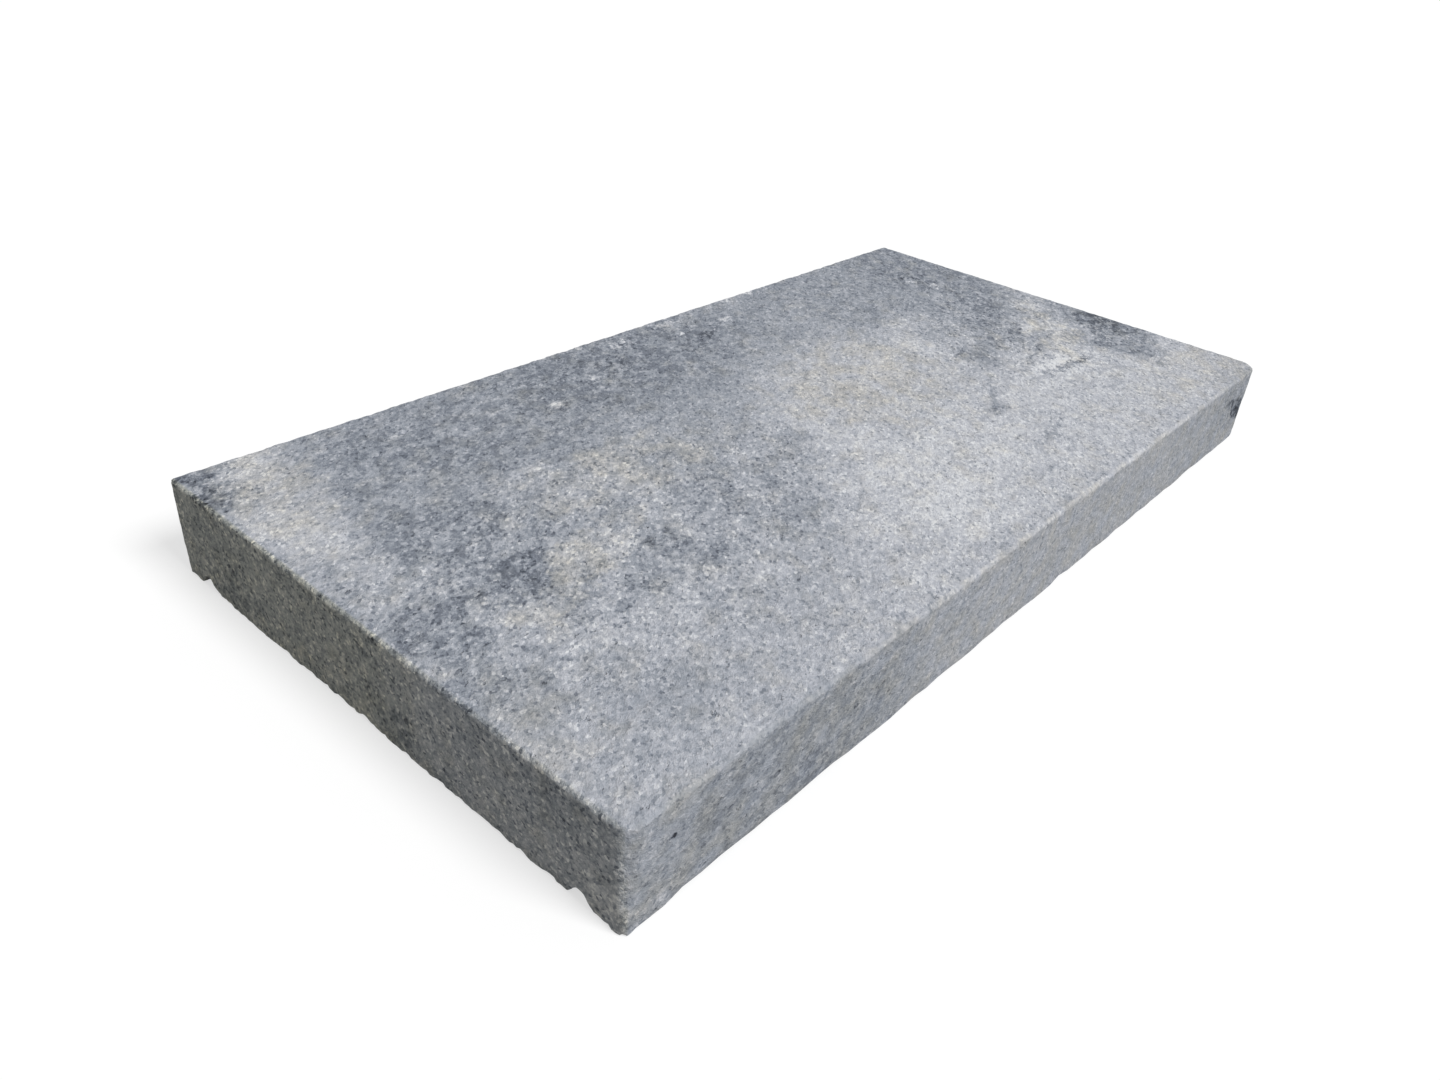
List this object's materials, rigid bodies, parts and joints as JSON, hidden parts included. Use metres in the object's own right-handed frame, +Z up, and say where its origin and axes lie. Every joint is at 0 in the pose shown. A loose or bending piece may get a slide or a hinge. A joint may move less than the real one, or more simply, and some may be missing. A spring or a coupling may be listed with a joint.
{
  "type": "wall coping stone",
  "caption": "Flat rectangular concrete coping stone with a drip groove under each long side, laid on top of a free-standing wall.",
  "frame": {"origin": "middle of the bed, the flat underside that lies on the wall", "axes": "+X along the wall, +Y across the wall towards the back long side, +Z up through the top face"},
  "size_m": [0.58, 0.3, 0.05],
  "materials": {
    "concrete": "cast concrete, mottled slate blue, grey and cream, fine grainy face"
  },
  "bodies": {
    "root": {"coping_stone": "concrete"}
  },
  "joints": []
}
